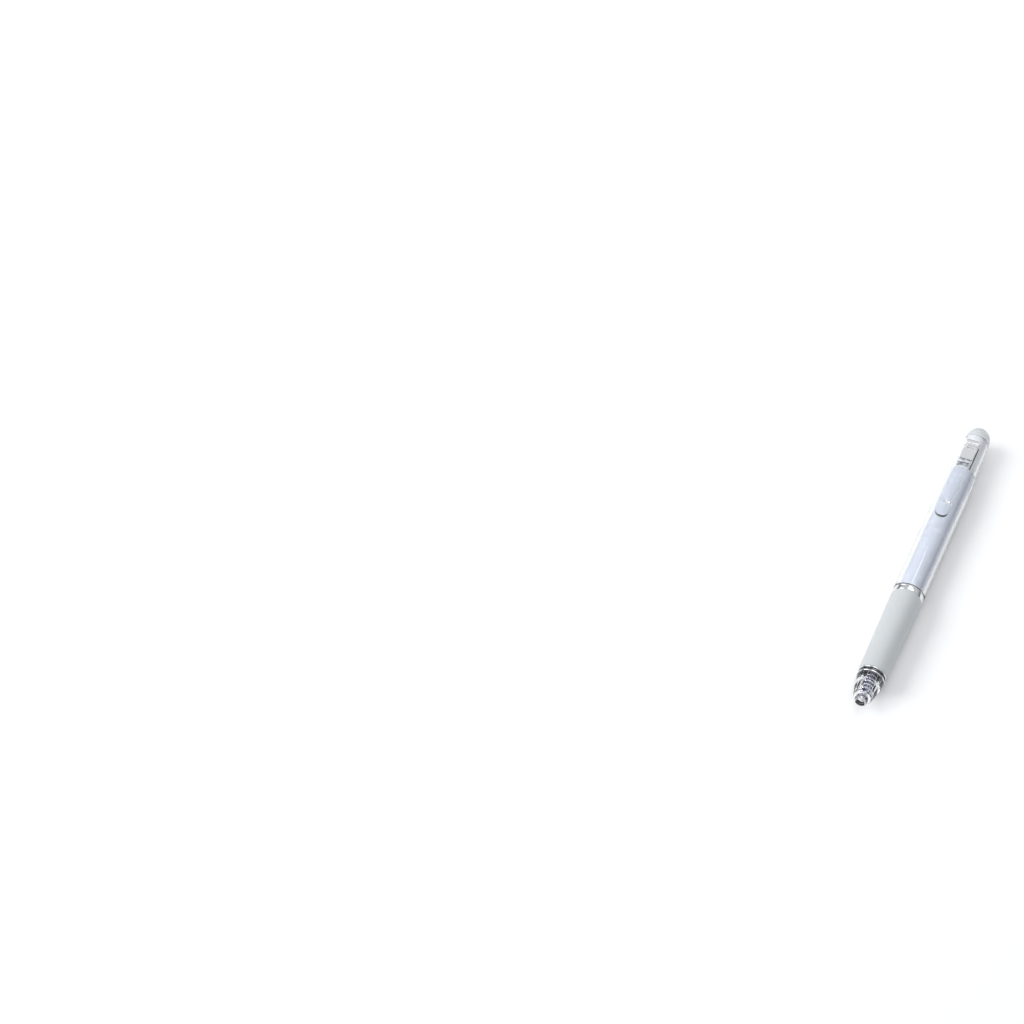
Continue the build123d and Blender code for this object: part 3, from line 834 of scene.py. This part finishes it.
def coil_tree():
    """Geometry nodes that wind a wire along X, with closed coils at both ends."""
    tree = bpy.data.node_groups.new("wound_wire", "GeometryNodeTree")
    sizes = {}
    for label in ("Front X", "Axis Z", "Length", "Turns", "Coil Radius", "Wire Radius"):
        sizes[label] = tree.interface.new_socket(
            name=label, in_out="INPUT", socket_type="NodeSocketFloat").identifier
    sizes["Material"] = tree.interface.new_socket(
        name="Material", in_out="INPUT", socket_type="NodeSocketMaterial").identifier
    tree.interface.new_socket(name="Geometry", in_out="OUTPUT", socket_type="NodeSocketGeometry")
    taken = tree.nodes.new("NodeGroupInput")
    given = tree.nodes.new("NodeGroupOutput")

    def maths(operation, *values):
        node = tree.nodes.new("ShaderNodeMath")
        node.operation = operation
        for slot, value in enumerate(values):
            if isinstance(value, (int, float)):
                node.inputs[slot].default_value = value
            else:
                link(tree, value, node.inputs[slot])
        return node.outputs["Value"]

    line = tree.nodes.new("GeometryNodeCurvePrimitiveLine")
    finer = tree.nodes.new("GeometryNodeResampleCurve")
    finer.inputs["Count"].default_value = 420
    share = tree.nodes.new("GeometryNodeSplineParameter").outputs["Factor"]
    turn = maths("MULTIPLY", maths("MULTIPLY", share, taken.outputs["Turns"]), 2 * math.pi)
    rise = []
    for low, high, part in ((0.0, 0.1, 0.045), (0.1, 0.9, 0.91), (0.9, 1.0, 0.045)):
        ramp = tree.nodes.new("ShaderNodeMapRange")
        ramp.inputs["From Min"].default_value = low
        ramp.inputs["From Max"].default_value = high
        ramp.inputs["To Max"].default_value = part
        link(tree, share, ramp.inputs["Value"])
        rise.append(ramp.outputs["Result"])
    risen = maths("ADD", maths("ADD", rise[0], rise[1]), rise[2])
    along = maths("MULTIPLY", risen, taken.outputs["Length"])
    place = tree.nodes.new("ShaderNodeCombineXYZ")
    link(tree, maths("SUBTRACT", taken.outputs["Front X"], along), place.inputs["X"])
    radius = taken.outputs["Coil Radius"]
    link(tree, maths("MULTIPLY", maths("SINE", turn), radius), place.inputs["Y"])
    upward = maths("MULTIPLY", maths("COSINE", turn), radius)
    link(tree, maths("ADD", upward, taken.outputs["Axis Z"]), place.inputs["Z"])
    wind = tree.nodes.new("GeometryNodeSetPosition")
    section = tree.nodes.new("GeometryNodeCurvePrimitiveCircle")
    section.inputs["Resolution"].default_value = 14
    draw = tree.nodes.new("GeometryNodeCurveToMesh")
    draw.inputs["Fill Caps"].default_value = True
    smooth = tree.nodes.new("GeometryNodeSetShadeSmooth")
    realise = tree.nodes.new("GeometryNodeRealizeInstances")
    colour = tree.nodes.new("GeometryNodeSetMaterial")
    link(tree, line.outputs["Curve"], finer.inputs["Curve"])
    link(tree, finer.outputs["Curve"], wind.inputs["Geometry"])
    link(tree, place.outputs["Vector"], wind.inputs["Position"])
    link(tree, taken.outputs["Wire Radius"], section.inputs["Radius"])
    link(tree, wind.outputs["Geometry"], draw.inputs["Curve"])
    link(tree, section.outputs["Curve"], draw.inputs["Profile Curve"])
    link(tree, draw.outputs["Mesh"], smooth.inputs["Geometry"])
    link(tree, smooth.outputs["Geometry"], realise.inputs["Geometry"])
    link(tree, realise.outputs["Geometry"], colour.inputs["Geometry"])
    link(tree, taken.outputs["Material"], colour.inputs["Material"])
    link(tree, colour.outputs["Geometry"], given.inputs["Geometry"])
    return tree, sizes


def grown(name, tree, values):
    """The plain mesh piece that a geometry-nodes tree makes from these inputs."""
    seed = bpy.data.objects.new(name + "_seed", bpy.data.meshes.new(name + "_seed"))
    bpy.context.collection.objects.link(seed)
    maker = seed.modifiers.new("maker", "NODES")
    maker.node_group = tree
    for identifier, value in values.items():
        maker[identifier] = value
    return evaluated(seed, name)


WIRE = 0.45  # across
COIL = 1.97  # to the middle of the wire
spring_low, spring_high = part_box("return_spring")
spring_length = spring_high.x - spring_low.x
wound_wire, wire_inputs = coil_tree()
spring = grown("return_spring_wire", wound_wire, {
    wire_inputs["Front X"]: spring_high.x - WIRE / 2 * MM,
    wire_inputs["Axis Z"]: axis_z,
    wire_inputs["Length"]: spring_length - WIRE * MM,
    wire_inputs["Turns"]: 10.0,
    wire_inputs["Coil Radius"]: COIL * MM,
    wire_inputs["Wire Radius"]: WIRE / 2 * MM,
    wire_inputs["Material"]: spring_steel,
})
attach(spring, "casing")
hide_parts("return_spring")
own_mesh(spring)

# ------------------------------------------------------------------ floor, light, camera
# Pale sweep of paper under soft studio light, strongest from one side and from above,
# with a darker band round the horizon, and a long lens that looks down past the tip.

paper = moulded(
    "paper", ((0.93, 0.93, 0.935), (0.915, 0.915, 0.92)), 0.6, 0.75, grain_scale=900.0,
    relief=0.01, patch_scale=40.0, drift_scale=8.0, scratches=0.0,
)
sweep = bmesh.new()
bmesh.ops.create_grid(sweep, x_segments=2, y_segments=2, size=3.0)
floor = finish_mesh(sweep, "floor")
floor.data.materials.append(paper)

world = bpy.data.worlds.new("studio")
bpy.context.scene.world = world
world.use_nodes = True
sky = world.node_tree.nodes["Background"]
sky.inputs["Strength"].default_value = 0.68
ways = world.node_tree.nodes.new("ShaderNodeTexCoord")
parts = world.node_tree.nodes.new("ShaderNodeSeparateXYZ")
tone = world.node_tree.nodes.new("ShaderNodeValToRGB")
tone.color_ramp.elements[0].position = 0.04
tone.color_ramp.elements[0].color = (0.22, 0.23, 0.25, 1.0)
tone.color_ramp.elements[1].position = 0.5
tone.color_ramp.elements[1].color = (0.96, 0.98, 1.0, 1.0)
link(world.node_tree, ways.outputs["Generated"], parts.inputs["Vector"])
link(world.node_tree, parts.outputs["Z"], tone.inputs["Fac"])
link(world.node_tree, tone.outputs["Color"], sky.inputs["Color"])


def softbox(name, place, size, watts):
    """A rectangular soft light that faces the pen."""
    lamp = bpy.data.lights.new(name, "AREA")
    lamp.shape = "RECTANGLE"
    lamp.size, lamp.size_y = size
    lamp.energy = watts
    box = bpy.data.objects.new(name, lamp)
    bpy.context.collection.objects.link(box)
    box.location = place
    box.rotation_euler = (-Vector(place)).to_track_quat("-Z", "Y").to_euler()


softbox("key_light", (0.15, -0.75, 0.65), (0.7, 0.5), 6.3)
softbox("top_light", (-0.35, 0.1, 0.9), (0.6, 0.6), 2.0)

lens = bpy.data.cameras.new("camera")
lens.sensor_width = 36.0
lens.lens = 94.4
camera = bpy.data.objects.new("camera", lens)
bpy.context.collection.objects.link(camera)
camera.location = (0.65106, 0.12116, 0.74620)
camera.rotation_euler = Euler([math.radians(a) for a in (42.081, -0.134, 113.826)])
bpy.context.scene.camera = camera
bpy.context.scene.view_settings.view_transform = "Standard"
